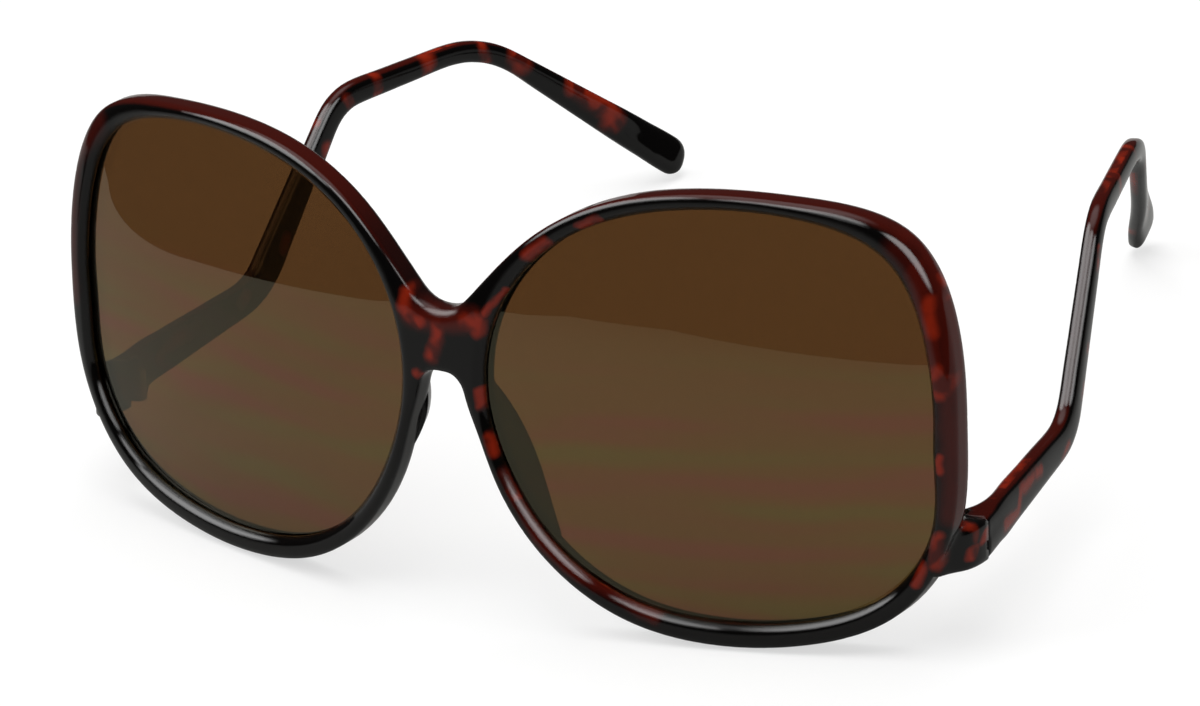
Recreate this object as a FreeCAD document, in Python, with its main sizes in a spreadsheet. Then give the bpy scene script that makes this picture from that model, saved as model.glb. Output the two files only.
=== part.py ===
import FreeCAD, Part
import math
import os
from FreeCAD import Placement, Rotation, Vector

# Oversized drop temple sunglasses. The front faces -Y, the temples run back along +Y and +Z is up.
# Every piece is drawn in the frame of the front, with the front pole of the bridge at the origin and
# the lens centres on the X axis. At the end all pieces are set down on the table together, resting on
# the rims and on the temple tips. Left and right are the wearer's, so left is +X.

doc = FreeCAD.newDocument("sunglasses")

# Driving dimensions in millimetres and degrees
driving_sizes = [
    # front
    ("lens_width", 62.0),
    ("lens_height", 58.6),
    ("bridge_width", 13.5),
    ("front_radius", 195.0),
    ("front_depth", 4.4),
    ("rim_width", 3.2),
    ("bridge_top", 11.4),
    ("arch_top", 2.6),
    ("arch_half", 3.9),
    ("outer_round", 0.7),
    ("corner_round", 1.6),
    ("back_round", 1.1),
    ("inner_bevel", 1.0),
    ("inner_round", 0.35),
    # lenses
    ("lens_thickness", 1.6),
    ("lens_setback", 1.5),
    ("groove_depth", 0.8),
    ("fit_gap", 0.05),
    # nose pads
    ("pad_depth", 3.4),
    ("pad_root", 0.8),
    ("pad_splay", 25.0),
    ("pad_curve", 22.0),
    ("pad_level", -10.5),
    ("pad_round", 0.6),
    # end pieces that carry the hinges
    ("end_overhang", 2.35),
    ("end_width", 5.1),
    ("end_height", 6.0),
    ("end_level", -16.8),
    ("end_length", 7.8),
    ("end_round", 0.7),
    ("butt_gap", 0.15),
    # hinges
    ("barrel_diameter", 2.5),
    ("barrel_height", 1.5),
    ("barrel_gap", 0.05),
    ("pin_diameter", 1.2),
    ("pin_gap", 0.04),
    ("knuckle_gap", 0.4),
    ("leaf_offset", 1.4),
    ("leaf_thickness", 0.8),
    ("leaf_length", 4.2),
    ("leaf_setback", 0.1),
    ("web_length", 1.1),
    ("head_diameter", 2.0),
    ("head_height", 0.45),
    ("slot_width", 0.4),
    ("slot_depth", 0.25),
    # temples
    ("boss_length", 2.4),
    ("boss_taper", 3.2),
    ("run_reach", 30.4),
    ("run_rise", 4.5),
    ("run_inset", 3.0),
    ("run_width", 6.5),
    ("run_thickness", 3.0),
    ("riser_reach", 16.8),
    ("riser_rise", 25.4),
    ("riser_inset", 4.0),
    ("riser_width", 3.7),
    ("riser_thickness", 2.6),
    ("ear_reach", 27.2),
    ("ear_rise", 2.4),
    ("ear_inset", 7.8),
    ("ear_width", 3.2),
    ("ear_thickness", 2.5),
    ("hook_reach", 31.5),
    ("hook_drop", 25.9),
    ("hook_inset", 15.6),
    ("paddle_width", 6.0),
    ("paddle_thickness", 2.4),
    ("paddle_twist", 24.0),
    ("front_bend", 4.4),
    ("back_bend", 4.2),
    ("ear_bend", 8.0),
    ("station_pitch", 4.0),
    # resting attitude and cutting allowance
    ("rest_pitch", 9.7),
    ("overrun", 2.0),
]

sheet = doc.addObject("Spreadsheet::Sheet", "Sizes")
for row, (alias, value) in enumerate(driving_sizes, start=1):
    sheet.set("A%d" % row, alias)
    sheet.set("B%d" % row, str(value))
    sheet.setAlias("B%d" % row, alias)
doc.recompute()


def size(alias):
    return float(sheet.get(alias))


# Outline of one lens opening about its centre, anticlockwise from the temple side,
# as shares of half the lens width and half the lens height
opening_shares = [
    (1.00, 0.00), (0.968, 0.425), (0.79, 0.825), (0.39, 0.985),
    (0.00, 0.993), (-0.36, 0.92), (-0.69, 0.735), (-0.93, 0.41),
    (-1.00, 0.00), (-0.90, -0.385), (-0.685, -0.72), (-0.365, -0.935),
    (0.00, -1.00), (0.38, -0.965), (0.76, -0.80), (0.985, -0.43),
]
# Width of the rim beside each of those points, as shares of the rim width
rim_shares = [
    1.01, 1.08, 1.16, 0.70, 0.68, 0.76, 0.83, 0.81,
    0.84, 0.69, 0.80, 0.95, 1.02, 1.00, 0.95, 0.82,
]
# Points of the opening that the outer outline passes, from the bridge round to the nose arch
outline_order = [6, 5, 4, 3, 2, 1, 0, 15, 14, 13, 12, 11, 10, 9]
# Dip above the bridge: across as shares of the gap between the lenses, up as shares of the bridge top
dip_shares = [(0.245, 1.088), (0.385, 1.246)]
# Nose arch: across as shares of the arch half width, up as shares of the arch top
arch_shares = [(1.36, -1.88), (1.0, -0.31), (0.82, 0.46), (0.51, 0.885)]

half_width = size("lens_width") / 2
half_height = size("lens_height") / 2
lens_gap = size("bridge_width")
centre_x = (size("lens_width") + lens_gap) / 2
rim_width = size("rim_width")
front_radius = size("front_radius")
overrun = size("overrun")
# Each outline is divided into this many edges
outline_spans = 16
loop_spans = 4
ball_centre = Vector(0, front_radius, 0)


def front_y(x, z):
    return front_radius - math.sqrt(front_radius ** 2 - x ** 2 - z ** 2)


def closed_curve(points):
    curve = Part.BSplineCurve()
    curve.interpolate(Points=points, PeriodicFlag=True)
    return curve


def spans(curve, count):
    start = curve.FirstParameter
    stride = (curve.LastParameter - start) / count
    edges = []
    for k in range(count):
        span = curve.copy()
        span.segment(start + stride * k, start + stride * (k + 1))
        edges.append(span.toShape())
    return edges


def wire_object(name, edges):
    holder = doc.addObject("Part::Feature", name)
    holder.Shape = Part.Wire(edges)
    return holder


def bind(target, **expressions):
    for prop, text in expressions.items():
        target.setExpression(prop.replace("__", "."), text)
    return target


def sphere(name, radius):
    ball = doc.addObject("Part::Sphere", name)
    return bind(ball, Radius=radius, Placement__Base__y="Sizes.front_radius")


def extrusion(name, base, direction, forward, backward="0"):
    solid = doc.addObject("Part::Extrusion", name)
    solid.Base = base
    solid.DirMode = "Custom"
    solid.Dir = direction
    solid.Solid = True
    solid.FaceMakerClass = "Part::FaceMakerBullseye"
    return bind(solid, LengthFwd=forward, LengthRev=backward)


def cut(name, base, tool):
    solid = doc.addObject("Part::Cut", name)
    solid.Base = base
    solid.Tool = tool
    return solid


def common(name, base, tool):
    solid = doc.addObject("Part::Common", name)
    solid.Base = base
    solid.Tool = tool
    return solid


def fuse(name, pieces):
    solid = doc.addObject("Part::MultiFuse", name)
    solid.Shapes = pieces
    return solid


def mirror(source):
    twin = doc.addObject("Part::Mirroring", source.Name + "_twin")
    twin.Source = source
    twin.Normal = Vector(1, 0, 0)
    return twin


def box(name, x0, x1, y0, y1, z0, z1):
    block = doc.addObject("Part::Box", name)
    span = "(%s) - (%s)"
    bind(block, Length=span % (x1, x0), Width=span % (y1, y0), Height=span % (z1, z0))
    return bind(block, Placement__Base__x=x0, Placement__Base__y=y0, Placement__Base__z=z0)


def rod(name, radius, z0, z1):
    pin = doc.addObject("Part::Cylinder", name)
    bind(pin, Radius=radius, Height="(%s) - (%s)" % (z1, z0))
    return bind(pin, Placement__Base__x=HINGE_X, Placement__Base__y=HINGE_Y + " + Sizes.butt_gap / 2",
                Placement__Base__z=z0)


def rounded(name, base, picks):
    doc.recompute()
    solid = doc.addObject("Part::Fillet", name)
    solid.Base = base
    solid.Edges = picks
    return solid


# Outlines of the front, drawn on a plane in front of it
def plane_point(x, z):
    return Vector(x, -overrun, z)


opening_points = [plane_point(centre_x + half_width * a, half_height * b) for a, b in opening_shares]
opening_curve = closed_curve(opening_points)
opening_params = [opening_curve.parameter(p) for p in opening_points]


def outward(parameter):
    along = opening_curve.tangent(parameter)[0]
    return Vector(along.z, 0, -along.x).normalize()


def beside_opening(index, distance):
    return opening_points[index] + outward(opening_params[index]) * distance


def offset_curve(distance):
    return closed_curve([beside_opening(k, distance) for k in range(len(opening_points))])


half_outline = [plane_point(lens_gap * a, size("bridge_top") * b) for a, b in dip_shares]
half_outline += [beside_opening(k, rim_width * rim_shares[k]) for k in outline_order]
half_outline += [plane_point(size("arch_half") * a, size("arch_top") * b) for a, b in arch_shares]
other_half = [Vector(-p.x, p.y, p.z) for p in reversed(half_outline)]
outline_points = [plane_point(0, size("bridge_top"))] + half_outline
outline_points += [plane_point(0, size("arch_top"))] + other_half
outline_curve = closed_curve(outline_points)

# Place of the hinges: the end pieces stand out from the rims at their level and run back from there
end_level = size("end_level")
level_line = Part.makeLine(plane_point(centre_x, end_level), plane_point(2 * centre_x, end_level))
rim_side = outline_curve.toShape().distToShape(level_line)[1][0][0]
end_x = rim_side.x + size("end_overhang")
end_width = size("end_width")
hinge_x = end_x - end_width
hinge_y = front_y(end_x, end_level) + size("end_length")
places = doc.addObject("Spreadsheet::Sheet", "Places")
for row, (alias, value) in enumerate([("hinge_x", hinge_x), ("hinge_y", hinge_y)], start=1):
    places.set("A%d" % row, alias)
    places.set("B%d" % row, repr(value))
    places.setAlias("B%d" % row, alias)
doc.recompute()
HINGE_X = "Places.hinge_x"
HINGE_Y = "Places.hinge_y"
STACK = "(3 * Sizes.barrel_height + 2 * Sizes.barrel_gap)"
front_stock_length = HINGE_Y + " + 2 * Sizes.overrun"
back = Vector(0, 1, 0)

# Rim plate: the outline between two concentric balls, with both openings cut through
front_outline = wire_object("front_outline", spans(outline_curve, outline_spans))
front_stock = extrusion("front_stock", front_outline, back, front_stock_length)
front_ball = sphere("front_ball", "Sizes.front_radius")
back_ball = sphere("back_ball", "Sizes.front_radius - Sizes.front_depth")
opening_outline = wire_object("opening_outline", spans(opening_curve, loop_spans))
opening_stock = extrusion("opening_stock", opening_outline, back, front_stock_length)
opening_pair = fuse("opening_pair", [opening_stock, mirror(opening_stock)])
plate_stock = common("plate_stock", front_stock, front_ball)
plate_shell = cut("plate_shell", plate_stock, back_ball)
rim_plate = cut("rim_plate", plate_shell, opening_pair)
doc.recompute()

# Glossy edges: rounded outside, most at the upper temple corner, and bevelled round the lenses
wall_share = 0.68
pick_share = 0.2
sample_shares = (0.1, 0.4, 0.8)
corner_index = 2
corner_spread_share = 0.62
narrow_rim = rim_width * min(rim_shares)
inner_round = size("inner_round")
inner_bevel = min(size("inner_bevel"), wall_share * narrow_rim, wall_share * size("lens_setback"))
outer_round = min(size("outer_round"), wall_share * (narrow_rim - inner_bevel))
corner_round = min(size("corner_round"), wall_share * rim_width * rim_shares[corner_index])
corner_round = max(outer_round, min(corner_round, wall_share * size("front_depth")))
back_round = min(size("back_round"), wall_share * narrow_rim, size("front_depth") - corner_round)
pick_reach = size("fit_gap") * pick_share
corner_point = beside_opening(corner_index, rim_width * rim_shares[corner_index])


def samples_of(edge):
    length = edge.LastParameter - edge.FirstParameter
    return [edge.valueAt(edge.FirstParameter + s * length) for s in sample_shares]


def front_rounding(point):
    away = (plane_point(abs(point.x), point.z) - corner_point).Length
    fade = max(0, 1 - away / (size("lens_height") * corner_spread_share))
    return outer_round + (corner_round - outer_round) * fade


opening_edge = opening_curve.toShape()


def edge_places(solid):
    # every edge with where it lies: on the front or the back, and whether round a lens
    for index, edge in enumerate(solid.Shape.Edges, start=1):
        samples = samples_of(edge)
        radii = [(p - ball_centre).Length for p in samples]
        on_front = all(abs(r - front_radius) < pick_reach for r in radii)
        on_back = all(abs(r - front_radius + size("front_depth")) < pick_reach for r in radii)
        middle = plane_point(abs(samples[1].x), samples[1].z)
        at_lens = opening_edge.distToShape(Part.Vertex(middle))[0] < pick_reach
        yield index, edge, on_front, on_back, at_lens


rim_picks = []
for index, edge, on_front, on_back, at_lens in edge_places(rim_plate):
    if on_front and not at_lens:
        ends = [front_rounding(edge.valueAt(end)) for end in (edge.FirstParameter, edge.LastParameter)]
        rim_picks.append((index, ends[0], ends[1]))
    elif on_back:
        rim_picks.append((index, inner_round, inner_round) if at_lens else (index, back_round, back_round))
rim_round = rounded("rim_round", rim_plate, rim_picks)
doc.recompute()
rim_bevel = doc.addObject("Part::Chamfer", "rim_bevel")
rim_bevel.Base = rim_round
rim_bevel.Edges = [
    (index, inner_bevel, inner_bevel)
    for index, _, on_front, _, at_lens in edge_places(rim_round) if on_front and at_lens
]

# Space that pads and end pieces leave clear in front of the back of the rim
clear_outline = wire_object("clear_outline", spans(offset_curve(size("inner_round")), loop_spans))
clear_stock = extrusion("clear_stock", clear_outline, back, front_stock_length)
opening_clear = cut("opening_clear", clear_stock, back_ball)

# Nose pad: a flange behind the nose side of the rim, splayed outwards as it goes back
pad_inner_share = 0.05
pad_outer_share = 0.68
pad_tip_shares = (0.35, 0.60)
pad_tip_across_share = 0.4
pad_round_share = 0.2


def rim_point(index, share, across_share):
    start = opening_params[index]
    stop = opening_params[index + 1]
    width = rim_shares[index] + share * (rim_shares[index + 1] - rim_shares[index])
    parameter = start + share * (stop - start)
    return opening_curve.value(parameter) + outward(parameter) * (rim_width * width * across_share)


pad_points = [rim_point(7, pad_tip_shares[0], pad_tip_across_share)]
pad_points += [rim_point(k, 0, pad_inner_share) for k in (8, 9, 10)]
pad_points += [rim_point(10, pad_tip_shares[1], pad_tip_across_share)]
pad_points += [rim_point(k, 0, pad_outer_share) for k in (10, 9, 8)]
pad_plane = front_y(centre_x - half_width, size("pad_level")) + size("front_depth")
pad_points = [Vector(p.x, pad_plane, p.z) for p in pad_points]
pad_outline = wire_object("pad_outline", spans(closed_curve(pad_points), loop_spans))
splay = math.radians(size("pad_splay"))
pad_direction = Vector(math.sin(splay), math.cos(splay), 0)
pad_stock = extrusion("pad_stock", pad_outline, pad_direction, "2 * Sizes.pad_depth", "Sizes.pad_root")
pad_roll = doc.addObject("Part::Cylinder", "pad_roll")
bind(pad_roll, Radius="Sizes.pad_curve", Height="Sizes.lens_width + Sizes.bridge_width")
roll_axis = Vector(0, pad_plane + size("pad_depth") - size("pad_curve"), size("pad_level"))
pad_roll.Placement = Placement(roll_axis, Rotation(Vector(0, 1, 0), 90))
pad_form = common("pad_form", pad_stock, pad_roll)
doc.recompute()
pad_width = rim_width * rim_shares[9] * (pad_outer_share - pad_inner_share)
pad_round = min(size("pad_round"), pad_width * pad_round_share)
pad_picks = []
for index, edge in enumerate(pad_form.Shape.Edges, start=1):
    samples = samples_of(edge)
    reach = [math.hypot(p.y - roll_axis.y, p.z - roll_axis.z) for p in samples]
    if all(abs(r - size("pad_curve")) < pick_reach for r in reach):
        pad_picks.append((index, pad_round, pad_round))
pad_round_form = rounded("pad_round_form", pad_form, pad_picks)
nose_pad = cut("nose_pad", pad_round_form, opening_clear)

# End piece: leaves the lower outer rim, turns backwards and ends square at the hinge
end_length = size("end_length")
end_outer_shares = [(0.0, 0.0), (0.01, 0.27), (0.14, 0.59), (0.43, 0.90), (0.86, 1.14)]
end_inner_shares = [(1.10, 0.90), (1.0, 0.45), (1.0, 0.0)]
end_floor = size("end_level") - size("end_height") / 2


def end_point(across_share, forward_share):
    return Vector(end_x - end_width * across_share, hinge_y - end_length * forward_share, end_floor)


outer_side = [end_point(a, b) for a, b in end_outer_shares]
inner_side = [end_point(a, b) for a, b in end_inner_shares]
outer_curve = Part.BSplineCurve()
outer_curve.interpolate(Points=outer_side, InitialTangent=Vector(0, -1, 0), FinalTangent=Vector(-1, 0, 0))
corner_points = [outer_side[-1]] + inner_side + [outer_side[0]]
end_edges = [outer_curve.toShape()]
end_edges += [Part.makeLine(a, b) for a, b in zip(corner_points, corner_points[1:])]
end_outline = wire_object("end_outline", end_edges)
end_form = extrusion("end_form", end_outline, Vector(0, 0, 1), "Sizes.end_height")
doc.recompute()
end_round = min(size("end_round"), wall_share * size("end_height") / 2)
end_picks = []
for index, edge in enumerate(end_form.Shape.Edges, start=1):
    level = edge.BoundBox.ZLength < pick_reach
    curved = not isinstance(edge.Curve, Part.Line)
    if level and curved:
        end_picks.append((index, end_round, end_round))
end_round_form = rounded("end_round_form", end_form, end_picks)
end_piece = cut("end_piece", end_round_form, opening_clear)

# Hinge pockets, shared by the end piece and the temple
LEAF_X0 = HINGE_X + " + Sizes.leaf_offset"
LEAF_X1 = LEAF_X0 + " + Sizes.leaf_thickness"
KNUCKLE = "Sizes.barrel_diameter / 2 + Sizes.knuckle_gap"
STACK_Z0 = "Sizes.end_level - %s / 2" % STACK
STACK_Z1 = "Sizes.end_level + %s / 2" % STACK
END_Z0 = "Sizes.end_level - Sizes.end_height / 2 - Sizes.overrun"
END_Z1 = "Sizes.end_level + Sizes.end_height / 2 + Sizes.overrun"
TEMPLE_Y = HINGE_Y + " + Sizes.butt_gap"
front_knuckle = box("front_knuckle", HINGE_X + " - Sizes.overrun", HINGE_X + " + " + KNUCKLE,
                    HINGE_Y + " - (" + KNUCKLE + ")", HINGE_Y + " + Sizes.overrun", END_Z0, END_Z1)
front_slot = box("front_slot", LEAF_X0 + " - Sizes.fit_gap", LEAF_X1 + " + Sizes.fit_gap",
                 HINGE_Y + " - Sizes.leaf_length - Sizes.fit_gap", HINGE_Y + " + Sizes.overrun",
                 STACK_Z0 + " - Sizes.fit_gap", STACK_Z1 + " + Sizes.fit_gap")
temple_knuckle = box("temple_knuckle", HINGE_X + " - Sizes.overrun", HINGE_X + " + " + KNUCKLE,
                     HINGE_Y + " - Sizes.overrun", TEMPLE_Y + " + " + KNUCKLE, END_Z0, END_Z1)
temple_slot = box("temple_slot", LEAF_X0 + " - Sizes.fit_gap", LEAF_X1 + " + Sizes.fit_gap",
                  HINGE_Y + " - Sizes.overrun", TEMPLE_Y + " + Sizes.leaf_length + Sizes.fit_gap",
                  STACK_Z0 + " - Sizes.fit_gap", STACK_Z1 + " + Sizes.fit_gap")

# Lens and the groove it sits in
groove_outline = wire_object("groove_outline", spans(offset_curve(size("groove_depth")), loop_spans))
groove_stock = extrusion("groove_stock", groove_outline, back, front_stock_length)
LENS_FACE = "Sizes.front_radius - Sizes.lens_setback"
LENS_REAR = LENS_FACE + " - Sizes.lens_thickness"
groove_face = sphere("groove_face", LENS_FACE + " + Sizes.fit_gap")
groove_rear = sphere("groove_rear", LENS_REAR + " - Sizes.fit_gap")
groove = cut("groove", common("groove_blank", groove_stock, groove_face), groove_rear)
lens_edge = offset_curve(size("groove_depth") - size("fit_gap"))
lens_outline = wire_object("lens_outline", spans(lens_edge, loop_spans))
lens_stock = extrusion("lens_stock", lens_outline, back, front_stock_length)
lens_face = sphere("lens_face", LENS_FACE)
lens_rear = sphere("lens_rear", LENS_REAR)
lens_blank = common("lens_blank", lens_stock, lens_face)

# Front frame: rims, bridge, pads and end pieces moulded as one
front_blank = fuse("front_blank", [rim_bevel, nose_pad, mirror(nose_pad), end_piece, mirror(end_piece)])
side_tools = fuse("side_tools", [groove, front_knuckle, front_slot])
front_tools = fuse("front_tools", [side_tools, mirror(side_tools)])

# Temple: rounded flat sections along a dropped path with three bends
square_power = 5.0
corner_power = 3.2
square_sections = 2
section_count = 24
flat_boss_share = 0.9
paddle_share = 0.12
twist_shares = (0.5, 0.8)
lateral = Vector(1, 0, 0)


def path_point(reach, rise, inset):
    x = end_x - size("run_thickness") / 2 - inset
    return Vector(x, hinge_y + size("butt_gap") + reach, size("end_level") + rise)


reach = 0
rise = 0
inset = 0
corners = []
for step in ("run", "riser", "ear"):
    reach += size(step + "_reach")
    rise += size(step + "_rise")
    inset += size(step + "_inset")
    corners.append(path_point(reach, rise, inset))
tip = path_point(reach + size("hook_reach"), rise - size("hook_drop"), inset + size("hook_inset"))
butt = Vector(end_x - end_width / 2, hinge_y + size("butt_gap"), size("end_level"))
slope = size("run_rise") / size("run_reach")
boss = butt + Vector(0, size("boss_length"), size("boss_length") * slope)
taper_end = size("boss_length") + size("boss_taper")
run_start = path_point(taper_end, taper_end * slope, taper_end * size("run_inset") / size("run_reach"))


def unit(vector):
    return Vector(vector).normalize()


# Each station is a centre, a direction, a width up and down and a thickness across
stations = [
    (butt, back, size("end_height"), end_width),
    (boss, unit(Vector(0, 1, slope)), size("end_height"), end_width * flat_boss_share),
    (run_start, unit(corners[0] - run_start), size("run_width"), size("run_thickness")),
]
trail = [run_start] + corners + [tip]


def straight(stops, end, end_width, end_thickness):
    # even stations from the last stop to just before the next bend
    begin, _, begin_width, begin_thickness = stops[-1]
    count = max(2, round((end - begin).Length / size("station_pitch")))
    for k in range(1, count):
        share = k / count
        wide = begin_width + share * (end_width - begin_width)
        thick = begin_thickness + share * (end_thickness - begin_thickness)
        stops.append((begin + (end - begin) * share, unit(end - begin), wide, thick))


bends = [
    ("front_bend", (size("run_width") + size("riser_width")) / 2,
     (size("run_thickness") + size("riser_thickness")) / 2),
    ("back_bend", size("riser_width"), size("riser_thickness")),
    ("ear_bend", size("ear_width"), size("ear_thickness")),
]
bend_shares = (0, 0.25, 0.5, 0.75, 1)
for (bend, width, thickness), before, corner, after in zip(bends, trail, trail[1:], trail[2:]):
    start = corner + unit(before - corner) * size(bend)
    stop = corner + unit(after - corner) * size(bend)
    straight(stations, start, width, thickness)
    for s in bend_shares:
        place = start * (1 - s) ** 2 + corner * (2 * s * (1 - s)) + stop * s ** 2
        along = (corner - start) * (1 - s) + (stop - corner) * s
        stations.append((place, unit(along), width, thickness))
hook_from = stations[-1]
hook_way = unit(tip - hook_from[0])
hook_length = (tip - hook_from[0]).Length
paddle_width = size("paddle_width")
paddle_thickness = size("paddle_thickness")
paddle_start = tip - hook_way * (hook_length * paddle_share)
straight(stations, paddle_start, paddle_width, paddle_thickness)
stations.append((paddle_start, hook_way, paddle_width, paddle_thickness))
# Rounded end of the paddle: distance from the tip as shares of half the paddle width
tip_shares = [1.0, 0.6, 0.3, 0.12, 0.04, 0.01]
tip_power = 2.6
for s in tip_shares:
    swell = (1 - max(0, 1 - s) ** tip_power) ** (1 / tip_power)
    place = tip - hook_way * (s * paddle_width / 2)
    stations.append((place, hook_way, paddle_width * swell, paddle_thickness * math.sqrt(swell)))


def section(number, place, along, width, thickness):
    across = unit(along.cross(Vector(0, 0, 1)))
    upward = across.cross(along)
    # the paddle turns its upper edge outwards
    hook_share = (place - hook_from[0]).dot(hook_way) / hook_length
    turned = (hook_share - twist_shares[0]) / (twist_shares[1] - twist_shares[0])
    turn = Rotation(along, size("paddle_twist") * min(1, max(0, turned)))
    across = turn.multVec(across)
    upward = turn.multVec(upward)
    power = square_power if number < square_sections else corner_power
    points = []
    for k in range(section_count):
        angle = 2 * math.pi * k / section_count
        c = math.cos(angle)
        s = math.sin(angle)
        a = math.copysign(abs(c) ** (2 / power), c) * thickness / 2
        b = math.copysign(abs(s) ** (2 / power), s) * width / 2
        points.append(place + across * a + upward * b)
    return wire_object("temple_section_%02d" % number, spans(closed_curve(points), loop_spans))


temple_form = doc.addObject("Part::Loft", "temple_form")
temple_form.Sections = [section(k, *station) for k, station in enumerate(stations)]
temple_form.Solid = True
temple_blank = cut("temple_blank", temple_form, temple_knuckle)

# Metal hinge: two barrels on the front leaf, one on the temple leaf, and a slotted screw
LOW_Z1 = STACK_Z0 + " + Sizes.barrel_height"
MID_Z0 = LOW_Z1 + " + Sizes.barrel_gap"
MID_Z1 = MID_Z0 + " + Sizes.barrel_height"
TOP_Z0 = MID_Z1 + " + Sizes.barrel_gap"
BARREL = "Sizes.barrel_diameter / 2"
WEB_X1 = LEAF_X0 + " + Sizes.leaf_thickness / 2"
FRONT_Y1 = HINGE_Y + " - Sizes.leaf_setback"
TEMPLE_Y0 = TEMPLE_Y + " + Sizes.leaf_setback"
front_leaf_blank = fuse("front_leaf_blank", [
    rod("front_barrel_low", BARREL, STACK_Z0, LOW_Z1),
    rod("front_barrel_top", BARREL, TOP_Z0, STACK_Z1),
    box("front_web_low", HINGE_X, WEB_X1, HINGE_Y + " - Sizes.web_length", FRONT_Y1, STACK_Z0, LOW_Z1),
    box("front_web_top", HINGE_X, WEB_X1, HINGE_Y + " - Sizes.web_length", FRONT_Y1, TOP_Z0, STACK_Z1),
    box("front_leaf", LEAF_X0, LEAF_X1, HINGE_Y + " - Sizes.leaf_length", FRONT_Y1, STACK_Z0, STACK_Z1),
])
temple_leaf_blank = fuse("temple_leaf_blank", [
    rod("temple_barrel", BARREL, MID_Z0, MID_Z1),
    box("temple_web", HINGE_X, WEB_X1, TEMPLE_Y0, TEMPLE_Y + " + Sizes.web_length", MID_Z0, MID_Z1),
    box("temple_leaf", LEAF_X0, LEAF_X1, TEMPLE_Y0, TEMPLE_Y + " + Sizes.leaf_length", STACK_Z0, STACK_Z1),
])
pin_bore = rod("pin_bore", "Sizes.pin_diameter / 2 + Sizes.pin_gap", STACK_Z0 + " - Sizes.overrun",
               STACK_Z1 + " + Sizes.overrun")
screw_blank = fuse("screw_blank", [
    rod("screw_shank", "Sizes.pin_diameter / 2", STACK_Z0, STACK_Z1),
    rod("screw_head", "Sizes.head_diameter / 2", STACK_Z1, STACK_Z1 + " + Sizes.head_height"),
])
PIVOT_Y = HINGE_Y + " + Sizes.butt_gap / 2"
screw_slot = box("screw_slot", HINGE_X + " - Sizes.head_diameter", HINGE_X + " + Sizes.head_diameter",
                 PIVOT_Y + " - Sizes.slot_width / 2", PIVOT_Y + " + Sizes.slot_width / 2",
                 STACK_Z1 + " + Sizes.head_height - Sizes.slot_depth", STACK_Z1 + " + Sizes.overrun")

# Set the whole part down on the table, centred over the origin
doc.recompute()
tilt = Rotation(lateral, -size("rest_pitch"))
extent = FreeCAD.BoundBox()
for outside in (rim_bevel, end_piece, temple_form):
    turned = outside.Shape.copy()
    turned.Placement = Placement(Vector(0, 0, 0), tilt)
    for point in turned.tessellate(size("fit_gap"))[0]:
        extent.add(point)
shift = Vector(0, -extent.Center.y, -extent.ZMin)
resting = Placement(shift, tilt)

# Left and right pieces
pairs = [
    ("lens", lens_blank, lens_rear),
    ("temple", temple_blank, temple_slot),
    ("front_hinge", front_leaf_blank, pin_bore),
    ("temple_hinge", temple_leaf_blank, pin_bore),
    ("hinge_screw", screw_blank, screw_slot),
]
pieces = [cut("front_frame", front_blank, front_tools)]
for name, base, tool in pairs:
    pieces.append(cut("left_" + name, base, tool))
    pieces.append(cut("right_" + name, mirror(base), mirror(tool)))
for piece in pieces:
    piece.Label = piece.Name
    piece.Placement = resting
doc.recompute()

for item in doc.Objects:
    if "Invalid" in item.State or "Error" in item.State:
        raise RuntimeError("feature failed: " + item.Name)
for piece in pieces:
    if piece.Shape.isNull() or not piece.Shape.isValid() or len(piece.Shape.Solids) != 1:
        raise RuntimeError("bad solid: " + piece.Label)

os.makedirs("parts", exist_ok=True)
for piece in pieces:
    piece.Shape.exportStep("parts/" + piece.Label + ".step")
    print(piece.Label, round(piece.Shape.Volume, 2))
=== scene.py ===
import math

import bpy
from mathutils import Matrix, Vector

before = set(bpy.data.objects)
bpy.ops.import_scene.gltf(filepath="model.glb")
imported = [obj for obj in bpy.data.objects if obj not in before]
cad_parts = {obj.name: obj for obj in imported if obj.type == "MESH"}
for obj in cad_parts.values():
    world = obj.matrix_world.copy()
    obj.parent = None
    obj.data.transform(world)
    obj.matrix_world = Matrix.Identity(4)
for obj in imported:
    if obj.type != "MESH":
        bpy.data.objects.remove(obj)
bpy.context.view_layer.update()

# Oversized sunglasses: mottled tortoise plastic, brown lenses and plated hinges.
# The front faces -Y, the temples run back along +Y and the wearer's left is +X. Lengths are in metres
# where nothing else is said, and colours are linear.

MM = 0.001
WHITE = (1, 1, 1, 1)

# Camera of the photograph
PHOTO_WIDTH = 1200
VIEW_AZIMUTH = math.radians(35.02)
VIEW_ELEVATION = math.radians(27.57)
VIEW_ROLL = math.radians(-7.96)
CAMERA_PLACE = Vector((0.44555, -0.65921, 0.42489))
SENSOR_WIDTH = 36.0
FOCAL_PIXELS = 6225.0

# Table top, from its back left corner round to its back right one. The bend is the rounded stretch
# of its edge that the right lens mirrors: its start, the point that pulls it outwards and its end.
TABLE_LEFT = [(-0.45, 0.55), (-0.45, -0.163)]
TABLE_BEND = [(-0.34, -0.137), (-0.237, -0.106), (-0.25, -0.17)]
BEND_STEPS = 12
TABLE_FRONT = [(-0.25, -0.80), (-0.13, -0.92), (0.16, -0.58), (0.62, -0.10), (0.62, 0.55)]
TABLE_COLOR = (0.9, 0.9, 0.895, 1)
TABLE_MIRRORED = (0.34, 0.34, 0.33, 1)
TABLE_GLOW = 0.62

# Room: its light on the pieces, and what the polished pieces mirror of it in front and behind
ROOM_LIGHT = (0.45, 0.45, 0.45, 1)
ROOM_DARK = (0.015, 0.016, 0.016, 1)
BACKDROP_COLOR = (0.03, 0.03, 0.03, 1)
BACKDROP_RANGE = (0.05, 0.6)
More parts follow.
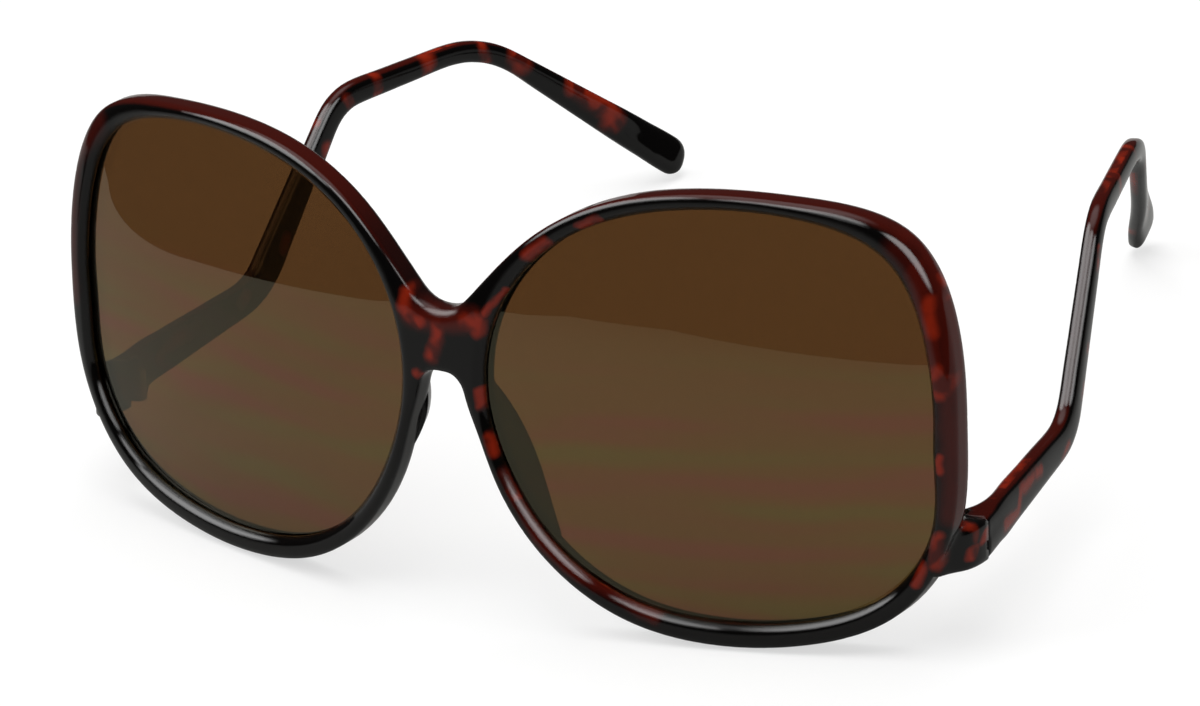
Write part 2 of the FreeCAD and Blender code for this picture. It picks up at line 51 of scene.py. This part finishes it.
# Soft lights that the polished pieces mirror: direction, cosines at the edge and the core, and level
MIRRORED_LIGHTS = {
    "overhead": ((-0.20, 0.15, 0.97), 0.86, 0.98, 1.8),
    "front_left": ((-0.60, -0.40, 0.70), 0.91, 0.95, 8.0),
    "front": ((0.04, -0.48, 0.87), 0.96, 0.98, 8.0),
    "front_right": ((0.72, -0.38, 0.58), 0.92, 0.95, 8.0),
}
# Lamps: place, aim, width, height and power in watts
SOFTBOXES = {
    "overhead_softbox": ((0.05, 0.05, 0.9), (0, 0, 0), 0.9, 0.7, 7.0),
    "front_left_softbox": ((-0.75, -0.42, 0.78), (0.03, 0, 0.03), 0.6, 0.6, 4.0),
}

# Tortoise plastic: dark ground, red patches, their deep parts, and a painted light: the red that light from
# above shows in the upper walls
GROUND_COLOR = (0.0025, 0.0021, 0.0020, 1)
PATCH_COLOR = (0.23, 0.016, 0.005, 1)
DEEP_COLOR = (0.065, 0.0055, 0.003, 1)
TOPLIGHT_RED = (0.042, 0.0042, 0.0025, 1)
PLASTIC_IOR = 1.5
PLASTIC_GLOSS = 0.32
PLASTIC_POLISH, PLASTIC_SMEAR = 0.03, 0.04
# Rounding of the edges in the shading, plain and at the soft places
EDGE_ROUNDING = 0.0014
SOFT_ROUNDING = 0.0026
EDGE_SAMPLES = 16
# Edge of a cloud as noise level, and of a stroke from its outside to its full red in radii
CLOUD_EDGE = 0.14
STROKE_FADE = (2.0, 0.2)
# Unevenness of the strokes: grains per metre and reach
STROKE_GRAIN, STROKE_PUSH = 300.0, 0.0012
DEPTH_GRAIN = 330.0
DEPTH_RANGE = (0.36, 0.56)
# Cosine to the shown direction at which the clouds start, and at which they are full
CLOUD_FACES = (0.35, 0.1)
# Upward part of the normal at which the painted light from above reddens the walls, and the height over which
# this sets in
LIT_FACES = (0.55, 0.9)
LIT_RISE = 0.006

# Lens tint, as what is left of white light behind the lens, and faint level bands of painted coating sheen in
# its lower part, where it mirrors the floor
LENS_TINT = (0.079, 0.035, 0.0112, 1)
LENS_ROSE_SHEEN = (0.090, 0.028, 0.0150, 1)
LENS_OLIVE_SHEEN = (0.071, 0.044, 0.0115, 1)
LENS_IOR = 1.63
LENS_SHEEN = (1, 0.95, 0.62, 1)
BAND_GRAIN = (18.0, 18.0, 230.0)
BAND_WAVE_GRAIN, BAND_WAVE_PUSH = 30.0, 0.006
BAND_HEIGHTS = (0.046, 0.034)
ROSE_RANGE = (0.5, 0.66)
OLIVE_RANGE = (0.5, 0.36)

# Hinge metal
METAL_COLOR = (0.62, 0.58, 0.52, 1)
WORN_COLOR = (0.496, 0.464, 0.416, 1)
METAL_GRAIN = 900.0
METAL_POLISH, METAL_SMEAR = 0.2, 0.15
METAL_RIPPLE = 0.00001

# Handling marks: grains per metre
SMEAR_GRAIN = 140.0
SMEAR_RANGE = (0.5, 0.75)
RIPPLE_GRAIN = 420.0

# Red strokes in the plastic by place, each as start, end and radius in millimetres
FRONT_STROKES = {
    "bridge": [
        ((-5.0, -59.5, 46.5), (-5.5, -60.0, 44.5), 0.8), ((-5.0, -60.0, 44.0), (-3.0, -60.0, 43.0), 0.7),
        ((4.5, -60.0, 44.0), (6.5, -60.0, 44.0), 0.8), ((6.5, -60.0, 44.5), (6.5, -60.0, 43.0), 0.8),
        ((0.0, -60.5, 42.5), (0.0, -61.0, 41.0), 0.8), ((0.0, -61.0, 41.0), (-1.0, -61.5, 38.5), 0.8),
        ((-3.0, -61.5, 36.0), (-3.5, -62.0, 35.5), 0.5), ((7.5, -59.5, 45.5), (10.5, -58.0, 49.0), 0.4),
    ],
    "nose side of the left rim": [
        ((6.5, -61.5, 34.5), (6.5, -62.0, 32.5), 0.6), ((7.5, -62.0, 28.0), (8.0, -62.5, 26.0), 0.6),
        ((10.5, -63.0, 21.0), (11.0, -63.0, 20.0), 0.5),
    ],
    "top of the left rim": [
        ((14.0, -57.0, 54.0), (16.5, -56.0, 56.0), 0.7), ((21.5, -54.5, 58.5), (24.0, -54.0, 59.5), 0.5),
    ],
    "outer side of the left rim": [
        ((68.5, -41.5, 52.0), (69.5, -41.5, 50.0), 0.6), ((68.5, -46.0, 50.5), (69.0, -46.5, 46.0), 0.7),
        ((69.5, -47.5, 41.5), (70.0, -48.0, 38.0), 0.7), ((71.0, -47.5, 39.5), (71.0, -47.5, 39.0), 0.8),
        ((70.0, -49.5, 29.5), (70.0, -50.0, 27.5), 0.4),
    ],
    "left end piece": [
        ((69.5, -51.5, 18.0), (69.0, -52.0, 14.0), 0.7), ((67.5, -52.5, 14.0), (66.0, -53.0, 11.0), 0.5),
        ((71.5, -46.5, 14.0), (71.5, -47.5, 13.0), 0.4), ((72.0, -43.0, 15.0), (72.0, -44.0, 14.0), 0.4),
    ],
}
# Broad strokes that show as a deep red
FRONT_DEEP = {
    "bridge": [
        ((-4.5, -60.0, 44.0), (0.0, -60.5, 43.5), 1.3), ((0.0, -60.5, 43.5), (6.0, -60.0, 44.5), 1.3),
    ],
    "outer side of the left rim": [
        ((64.0, -41.5, 57.0), (69.5, -42.0, 51.0), 1.5), ((69.5, -42.0, 51.0), (71.0, -44.0, 42.0), 1.5),
        ((71.0, -44.0, 42.0), (71.5, -46.5, 30.0), 1.4), ((71.5, -46.5, 30.0), (71.0, -48.0, 21.0), 1.3),
        ((66.5, -45.0, 54.5), (69.0, -46.5, 46.0), 1.2), ((69.0, -46.5, 46.0), (70.0, -48.0, 39.0), 1.0),
    ],
    "nose side and foot of the left rim": [
        ((9.5, -62.5, 23.0), (14.0, -63.5, 14.5), 0.8), ((14.0, -63.5, 14.5), (18.0, -63.0, 10.5), 0.9),
        ((18.0, -63.0, 10.5), (30.0, -62.0, 4.5), 0.9),
    ],
    "outer side of the right rim": [
        ((-64.0, -41.5, 57.0), (-69.5, -42.0, 51.0), 1.5), ((-69.5, -42.0, 51.0), (-71.0, -44.0, 42.0), 1.3),
        ((-71.0, -44.0, 42.0), (-71.5, -46.5, 30.0), 1.2),
    ],
}
# Places of the front with softer edges
FRONT_SOFT = {
    "bridge": [((-3.0, -60.0, 44.0), (3.0, -60.0, 44.0), 3.0)],
    "outer corners": [
        ((58.0, -47.0, 60.0), (67.5, -45.0, 54.0), 3.5), ((-58.0, -47.0, 60.0), (-67.5, -45.0, 54.0), 3.5),
    ],
}
LEFT_STROKES = {
    "run": [
        ((71.5, -37.0, 12.5), (71.0, -33.0, 12.0), 0.8), ((71.0, -32.5, 12.5), (71.0, -31.0, 14.5), 0.6),
        ((70.5, -30.5, 14.5), (70.0, -24.5, 14.0), 0.75), ((69.0, -16.5, 11.5), (69.0, -14.5, 12.5), 0.55),
    ],
    "riser": [
        ((68.0, -6.5, 17.5), (68.0, -8.0, 16.0), 0.4), ((67.0, -3.0, 21.5), (67.0, -3.5, 21.0), 0.4),
        ((65.5, 5.5, 32.0), (66.0, 4.0, 30.0), 0.5),
    ],
    "ear rest and hook": [
        ((60.5, 20.0, 36.5), (60.0, 19.0, 33.0), 0.7), ((56.5, 30.0, 34.5), (56.5, 31.0, 31.5), 0.6),
        ((51.5, 41.0, 28.0), (51.0, 42.0, 26.0), 1.1), ((47.0, 49.0, 19.5), (45.5, 52.0, 15.5), 1.2),
        ((44.0, 55.0, 11.5), (43.5, 56.0, 9.5), 0.9),
    ],
}
RIGHT_STROKES = {
    "run": [
        ((-68.5, -35.0, 13.5), (-68.0, -31.0, 14.5), 0.8), ((-68.0, -31.0, 14.5), (-67.5, -26.5, 14.0), 0.85),
        ((-66.5, -17.5, 13.0), (-66.5, -15.5, 14.0), 0.75),
    ],
    "riser": [
        ((-65.0, -7.0, 17.5), (-65.0, -6.0, 19.0), 0.75), ((-63.0, 4.0, 29.5), (-63.0, 4.0, 28.5), 0.75),
        ((-62.0, 9.5, 35.0), (-62.0, 10.0, 33.5), 0.6),
    ],
    "ear rest and hook": [
        ((-60.5, 15.5, 36.0), (-60.5, 15.0, 33.5), 0.65), ((-58.0, 25.0, 35.0), (-57.5, 25.0, 34.0), 1.05),
        ((-57.5, 25.0, 34.0), (-58.0, 24.5, 32.5), 0.75), ((-54.5, 35.0, 33.0), (-54.5, 35.0, 30.0), 0.7),
        ((-52.0, 40.0, 29.0), (-51.5, 40.5, 27.5), 1.3), ((-48.0, 47.5, 21.0), (-46.0, 50.0, 18.0), 1.2),
        ((-46.0, 50.0, 18.0), (-45.5, 52.0, 16.0), 1.4), ((-45.0, 52.5, 15.0), (-44.5, 52.5, 13.5), 1.4),
    ],
}


# Shader helpers

def node(tree, kind, **settings):
    made = tree.nodes.new(kind)
    for name, value in settings.items():
        setattr(made, name, value)
    return made


def value_map(tree, source, low, high, to_low=0.0, to_high=1.0):
    ramp = node(tree, "ShaderNodeMapRange", interpolation_type="SMOOTHSTEP")
    ramp.inputs["From Min"].default_value = low
    ramp.inputs["From Max"].default_value = high
    ramp.inputs["To Min"].default_value = to_low
    ramp.inputs["To Max"].default_value = to_high
    tree.links.new(source, ramp.inputs["Value"])
    return ramp.outputs["Result"]


def feed(tree, sockets, sources):
    # a plain value is set on its socket, and an output is linked to it
    for socket, source in zip(sockets, sources):
        if isinstance(source, bpy.types.NodeSocket):
            tree.links.new(source, socket)
        else:
            socket.default_value = source


def math_node(tree, operation, *sources):
    made = node(tree, "ShaderNodeMath", operation=operation)
    feed(tree, made.inputs, sources)
    return made.outputs[0]


def vector_math(tree, operation, *sources):
    made = node(tree, "ShaderNodeVectorMath", operation=operation)
    feed(tree, made.inputs, sources)
    return made.outputs["Value" if operation in ("DOT_PRODUCT", "DISTANCE") else "Vector"]


def mix_colors(tree, mask, first, second):
    made = node(tree, "ShaderNodeMix", data_type="RGBA")
    colors = [socket for socket in made.inputs if socket.type == "RGBA"]
    feed(tree, [made.inputs["Factor"]] + colors, (mask, first, second))
    return next(socket for socket in made.outputs if socket.type == "RGBA")


def noise(tree, position, scale, detail=2.0, roughness=0.5, distortion=0.0):
    made = node(tree, "ShaderNodeTexNoise")
    made.inputs["Scale"].default_value = scale
    made.inputs["Detail"].default_value = detail
    made.inputs["Roughness"].default_value = roughness
    made.inputs["Distortion"].default_value = distortion
    tree.links.new(position, made.inputs["Vector"])
    return made


def height_of(tree, vector):
    parts = node(tree, "ShaderNodeSeparateXYZ")
    tree.links.new(vector, parts.inputs["Vector"])
    return parts.outputs["Z"]


def warped(tree, position, grain, push):
    # position pushed about by a soft noise, so that patches get uneven edges
    drift = noise(tree, position, grain)
    centred = vector_math(tree, "SUBTRACT", drift.outputs["Color"], (0.5, 0.5, 0.5))
    return vector_math(tree, "MULTIPLY_ADD", centred, (push, push, push), position)


def new_group(name, inputs, outputs):
    group = bpy.data.node_groups.new(name, "ShaderNodeTree")
    for label, kind in inputs:
        group.interface.new_socket(label, in_out="INPUT", socket_type=kind)
    for label, kind in outputs:
        group.interface.new_socket(label, in_out="OUTPUT", socket_type=kind)
    return group, node(group, "NodeGroupInput").outputs, node(group, "NodeGroupOutput").inputs


def place_group(tree, group, position, **values):
    made = node(tree, "ShaderNodeGroup", node_tree=group)
    tree.links.new(position, made.inputs["Position"])
    for name, value in values.items():
        made.inputs[name.replace("_", " ")].default_value = value
    return made.outputs


def new_material(name):
    material = bpy.data.materials.new(name)
    material.use_nodes = True
    tree = material.node_tree
    tree.nodes.clear()
    output = node(tree, "ShaderNodeOutputMaterial")
    shader = node(tree, "ShaderNodeBsdfPrincipled")
    tree.links.new(shader.outputs["BSDF"], output.inputs["Surface"])
    position = node(tree, "ShaderNodeTexCoord").outputs["Object"]
    return material, tree, shader, position


# Shared effects

def make_mottle_group():
    # cloudy patches of the tortoise sheet, as a mask
    group, given, result = new_group(
        "tortoise_mottle",
        [("Position", "NodeSocketVector"), ("Patch Size", "NodeSocketFloat"),
         ("Coverage", "NodeSocketFloat")],
        [("Mask", "NodeSocketFloat")])
    cloud = noise(group, given["Position"], 1.0, detail=1.5, roughness=0.45, distortion=0.9)
    group.links.new(math_node(group, "DIVIDE", 1.0, given["Patch Size"]), cloud.inputs["Scale"])
    limit = math_node(group, "SUBTRACT", 1.0, given["Coverage"])
    excess = math_node(group, "SUBTRACT", cloud.outputs["Fac"], limit)
    group.links.new(value_map(group, excess, 0.0, CLOUD_EDGE), result["Mask"])
    return group


def make_stroke_group():
    # one soft edged stroke from a start to an end
    group, given, result = new_group(
        "tortoise_stroke",
        [("Position", "NodeSocketVector"), ("Start", "NodeSocketVector"), ("End", "NodeSocketVector"),
         ("Radius", "NodeSocketFloat")],
        [("Mask", "NodeSocketFloat")])
    reach = vector_math(group, "SUBTRACT", given["Position"], given["Start"])
    whole = vector_math(group, "SUBTRACT", given["End"], given["Start"])
    share = math_node(group, "DIVIDE", vector_math(group, "DOT_PRODUCT", reach, whole),
                      vector_math(group, "DOT_PRODUCT", whole, whole))
    share = math_node(group, "MAXIMUM", math_node(group, "MINIMUM", share, 1.0), 0.0)
    along = node(group, "ShaderNodeVectorMath", operation="SCALE")
    group.links.new(whole, along.inputs[0])
    group.links.new(share, along.inputs["Scale"])
    apart = vector_math(group, "DISTANCE", reach, along.outputs["Vector"])
    radii = math_node(group, "DIVIDE", apart, given["Radius"])
    group.links.new(value_map(group, radii, *STROKE_FADE), result["Mask"])
    return group


def make_handling_group():
    # faint smears that dull the polish, and a ripple
    group, given, result = new_group(
        "handling_marks",
        [("Position", "NodeSocketVector"), ("Polish", "NodeSocketFloat"), ("Smear", "NodeSocketFloat")],
        [("Roughness", "NodeSocketFloat"), ("Height", "NodeSocketFloat")])
    smear = noise(group, given["Position"], SMEAR_GRAIN, detail=4.0, roughness=0.6)
    smeared = value_map(group, smear.outputs["Fac"], *SMEAR_RANGE)
    dulled = math_node(group, "MULTIPLY", smeared, given["Smear"])
    group.links.new(math_node(group, "ADD", dulled, given["Polish"]), result["Roughness"])
    ripple = noise(group, given["Position"], RIPPLE_GRAIN, detail=1.0)
    group.links.new(ripple.outputs["Fac"], result["Height"])
    return group


MOTTLE = make_mottle_group()
STROKE = make_stroke_group()
HANDLING = make_handling_group()


# Materials

def tortoise(name, strokes, through, shown, patch_size, coverage, lit_from,
             deep_strokes=None, soft_places=None):
    # through: squeezes the strokes' distances, so that a patch reaches through the sheet
    # shown: a direction whose faces carry only the strokes, with the clouds on all the others
    # lit_from: height above which a painted light from above shows the red body of the plastic in the upper
    # walls
    material, tree, shader, position = new_material(name)
    facing = node(tree, "ShaderNodeTexCoord").outputs["Normal"]
    uneven = vector_math(tree, "MULTIPLY", warped(tree, position, STROKE_GRAIN, STROKE_PUSH), through)

    def painted(places):
        squeeze = Vector(through) * MM
        mask = None
        for start, end, radius in (mark for marks in places.values() for mark in marks):
            stroke = place_group(tree, STROKE, uneven, Start=Vector(start) * squeeze,
                                 End=Vector(end) * squeeze, Radius=radius * MM)["Mask"]
            mask = math_node(tree, "MAXIMUM", mask, stroke) if mask else stroke
        return mask

    clouds = place_group(tree, MOTTLE, position, Patch_Size=patch_size, Coverage=coverage)["Mask"]
    hidden = value_map(tree, vector_math(tree, "DOT_PRODUCT", facing, shown), *CLOUD_FACES)
    patches = math_node(tree, "MAXIMUM", math_node(tree, "MULTIPLY", clouds, hidden), painted(strokes))
    # painted light from above: upward faces higher than lit_from turn a dim red
    lit = math_node(tree, "MULTIPLY", value_map(tree, height_of(tree, facing), *LIT_FACES),
                    value_map(tree, height_of(tree, position), lit_from, lit_from + LIT_RISE))
    ground = mix_colors(tree, lit, GROUND_COLOR, TOPLIGHT_RED)
    if deep_strokes:
        ground = mix_colors(tree, painted(deep_strokes), ground, DEEP_COLOR)
    depth = value_map(tree, noise(tree, position, DEPTH_GRAIN, detail=1.0).outputs["Fac"], *DEPTH_RANGE)
    red = mix_colors(tree, depth, DEEP_COLOR, PATCH_COLOR)
    tree.links.new(mix_colors(tree, patches, ground, red), shader.inputs["Base Color"])
    edges = node(tree, "ShaderNodeBevel", samples=EDGE_SAMPLES)
    edges.inputs["Radius"].default_value = EDGE_ROUNDING
    if soft_places:
        rounding = value_map(tree, painted(soft_places), 0.0, 1.0, EDGE_ROUNDING, SOFT_ROUNDING)
        tree.links.new(rounding, edges.inputs["Radius"])
    tree.links.new(edges.outputs["Normal"], shader.inputs["Normal"])
    handling = place_group(tree, HANDLING, position, Polish=PLASTIC_POLISH, Smear=PLASTIC_SMEAR)
    tree.links.new(handling["Roughness"], shader.inputs["Roughness"])
    shader.inputs["IOR"].default_value = PLASTIC_IOR
    shader.inputs["Specular IOR Level"].default_value = PLASTIC_GLOSS
    return material


def brown_lens():
    material, tree, shader, position = new_material("brown_lens")
    # faint level bands of painted coating sheen, only in the lower part, which mirrors the floor
    stretch = node(tree, "ShaderNodeMapping")
    stretch.inputs["Scale"].default_value = BAND_GRAIN
    tree.links.new(warped(tree, position, BAND_WAVE_GRAIN, BAND_WAVE_PUSH), stretch.inputs["Vector"])
    bands = noise(tree, stretch.outputs["Vector"], 1.0, detail=1.0).outputs["Fac"]
    floor_mirroring_part = value_map(tree, height_of(tree, position), *BAND_HEIGHTS)
    rose = math_node(tree, "MULTIPLY", value_map(tree, bands, *ROSE_RANGE), floor_mirroring_part)
    olive = math_node(tree, "MULTIPLY", value_map(tree, bands, *OLIVE_RANGE), floor_mirroring_part)
    tint = mix_colors(tree, rose, LENS_TINT, LENS_ROSE_SHEEN)
    tint = mix_colors(tree, olive, tint, LENS_OLIVE_SHEEN)
    tree.links.new(tint, shader.inputs["Base Color"])
    shader.inputs["Roughness"].default_value = 0.0
    shader.inputs["Transmission Weight"].default_value = 1.0
    shader.inputs["IOR"].default_value = LENS_IOR
    shader.inputs["Specular Tint"].default_value = LENS_SHEEN
    return material


def plated_metal():
    material, tree, shader, position = new_material("plated_metal")
    handling = place_group(tree, HANDLING, position, Polish=METAL_POLISH, Smear=METAL_SMEAR)
    tree.links.new(handling["Roughness"], shader.inputs["Roughness"])
    bump = node(tree, "ShaderNodeBump")
    bump.inputs["Distance"].default_value = METAL_RIPPLE
    tree.links.new(handling["Height"], bump.inputs["Height"])
    tree.links.new(bump.outputs["Normal"], shader.inputs["Normal"])
    tone = noise(tree, position, METAL_GRAIN, detail=3.0).outputs["Fac"]
    tree.links.new(mix_colors(tree, tone, WORN_COLOR, METAL_COLOR), shader.inputs["Base Color"])
    shader.inputs["Metallic"].default_value = 1.0
    return material


def dress(node_name, material):
    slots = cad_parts[node_name].data.materials
    slots.clear()
    slots.append(material)


dress("front_frame", tortoise(
    "tortoise_front", FRONT_STROKES, through=(1, 0.4, 1), shown=(0, -1, 0), patch_size=0.012, coverage=0.4,
    lit_from=0.044, deep_strokes=FRONT_DEEP, soft_places=FRONT_SOFT))
for side, strokes in (("left", LEFT_STROKES), ("right", RIGHT_STROKES)):
    dress(side + "_temple", tortoise(
        "tortoise_%s_temple" % side, strokes, through=(0.4, 1, 1), shown=(1, 0, 0), patch_size=0.011,
        coverage=0.42, lit_from=0.010))
lens_material = brown_lens()
metal_material = plated_metal()
for side in ("left", "right"):
    dress(side + "_lens", lens_material)
    for part in ("front_hinge", "temple_hinge", "hinge_screw"):
        dress(side + "_" + part, metal_material)


# Stage

def bend_points(start, pull, end):
    # points of a quadratic curve from the start to the end
    points = []
    for step in range(BEND_STEPS + 1):
        share = step / BEND_STEPS
        points.append((1 - share) ** 2 * Vector(start) + 2 * share * (1 - share) * Vector(pull)
                      + share ** 2 * Vector(end))
    return points


def seen_directly(tree, path):
    # camera rays, and those that go on through a lens
    return math_node(tree, "MAXIMUM", path.outputs["Is Camera Ray"], path.outputs["Is Transmission Ray"])


def add_floor():
    outline = TABLE_LEFT + bend_points(*TABLE_BEND) + TABLE_FRONT
    top = bpy.data.meshes.new("floor")
    top.from_pydata([(x, y, 0) for x, y in outline], [], [list(range(len(outline)))])
    floor = bpy.data.objects.new("floor", top)
    bpy.context.scene.collection.objects.link(floor)
    material = bpy.data.materials.new("pale_floor")
    material.use_nodes = True
    tree = material.node_tree
    tree.nodes.clear()
    output = node(tree, "ShaderNodeOutputMaterial")
    paint = node(tree, "ShaderNodeBsdfDiffuse")
    glow = node(tree, "ShaderNodeEmission")
    seen = seen_directly(tree, node(tree, "ShaderNodeLightPath"))
    tree.links.new(mix_colors(tree, seen, TABLE_MIRRORED, TABLE_COLOR), paint.inputs["Color"])
    blend = node(tree, "ShaderNodeMixShader")
    feed(tree, blend.inputs, (math_node(tree, "MULTIPLY", seen, TABLE_GLOW), paint.outputs["BSDF"],
                              glow.outputs["Emission"]))
    tree.links.new(blend.outputs["Shader"], output.inputs["Surface"])
    top.materials.append(material)


def light_room():
    world = bpy.data.worlds.new("studio")
    bpy.context.scene.world = world
    world.use_nodes = True
    tree = world.node_tree
    tree.nodes.clear()
    output = node(tree, "ShaderNodeOutputWorld")
    path = node(tree, "ShaderNodeLightPath")
    # reflections meet the backdrop behind the glasses, the dim room in front and the soft lights
    around = node(tree, "ShaderNodeTexCoord").outputs["Generated"]
    away = vector_math(tree, "DOT_PRODUCT", around, (-math.sin(VIEW_AZIMUTH), math.cos(VIEW_AZIMUTH), 0))
    mirrored = mix_colors(tree, value_map(tree, away, *BACKDROP_RANGE), ROOM_DARK, BACKDROP_COLOR)
    for direction, edge, core, level in MIRRORED_LIGHTS.values():
        towards = vector_math(tree, "DOT_PRODUCT", around, Vector(direction).normalized())
        mirrored = mix_colors(tree, value_map(tree, towards, edge, core), mirrored, (level, level, level, 1))
    room = mix_colors(tree, path.outputs["Is Glossy Ray"], ROOM_LIGHT, mirrored)
    background = node(tree, "ShaderNodeBackground")
    tree.links.new(mix_colors(tree, seen_directly(tree, path), room, WHITE), background.inputs["Color"])
    tree.links.new(background.outputs["Background"], output.inputs["Surface"])


def add_softbox(name, place, aim, width, height, power):
    lamp = bpy.data.lights.new(name, "AREA")
    lamp.shape = "RECTANGLE"
    lamp.size = width
    lamp.size_y = height
    lamp.energy = power
    holder = bpy.data.objects.new(name, lamp)
    bpy.context.scene.collection.objects.link(holder)
    holder.location = place
    holder.rotation_euler = (Vector(aim) - Vector(place)).to_track_quat("-Z", "Y").to_euler()
    # the soft lights of the room stand for it in reflections
    holder.visible_glossy = False


def set_camera():
    lens = bpy.data.cameras.new("photo_camera")
    lens.sensor_fit = "HORIZONTAL"
    lens.sensor_width = SENSOR_WIDTH
    lens.lens = FOCAL_PIXELS * SENSOR_WIDTH / PHOTO_WIDTH
    camera = bpy.data.objects.new("photo_camera", lens)
    bpy.context.scene.collection.objects.link(camera)
    level = math.cos(VIEW_ELEVATION)
    forward = Vector((-math.sin(VIEW_AZIMUTH) * level, math.cos(VIEW_AZIMUTH) * level,
                      -math.sin(VIEW_ELEVATION)))
    right = Vector((math.cos(VIEW_AZIMUTH), math.sin(VIEW_AZIMUTH), 0))
    up = right.cross(forward)
    across = right * math.cos(VIEW_ROLL) + up * math.sin(VIEW_ROLL)
    upward = up * math.cos(VIEW_ROLL) - right * math.sin(VIEW_ROLL)
    turn = Matrix((across, upward, -forward)).transposed().to_4x4()
    camera.matrix_world = Matrix.Translation(CAMERA_PLACE) @ turn
    bpy.context.scene.camera = camera


add_floor()
light_room()
for name, settings in SOFTBOXES.items():
    add_softbox(name, *settings)
set_camera()
bpy.context.scene.view_settings.view_transform = "Standard"
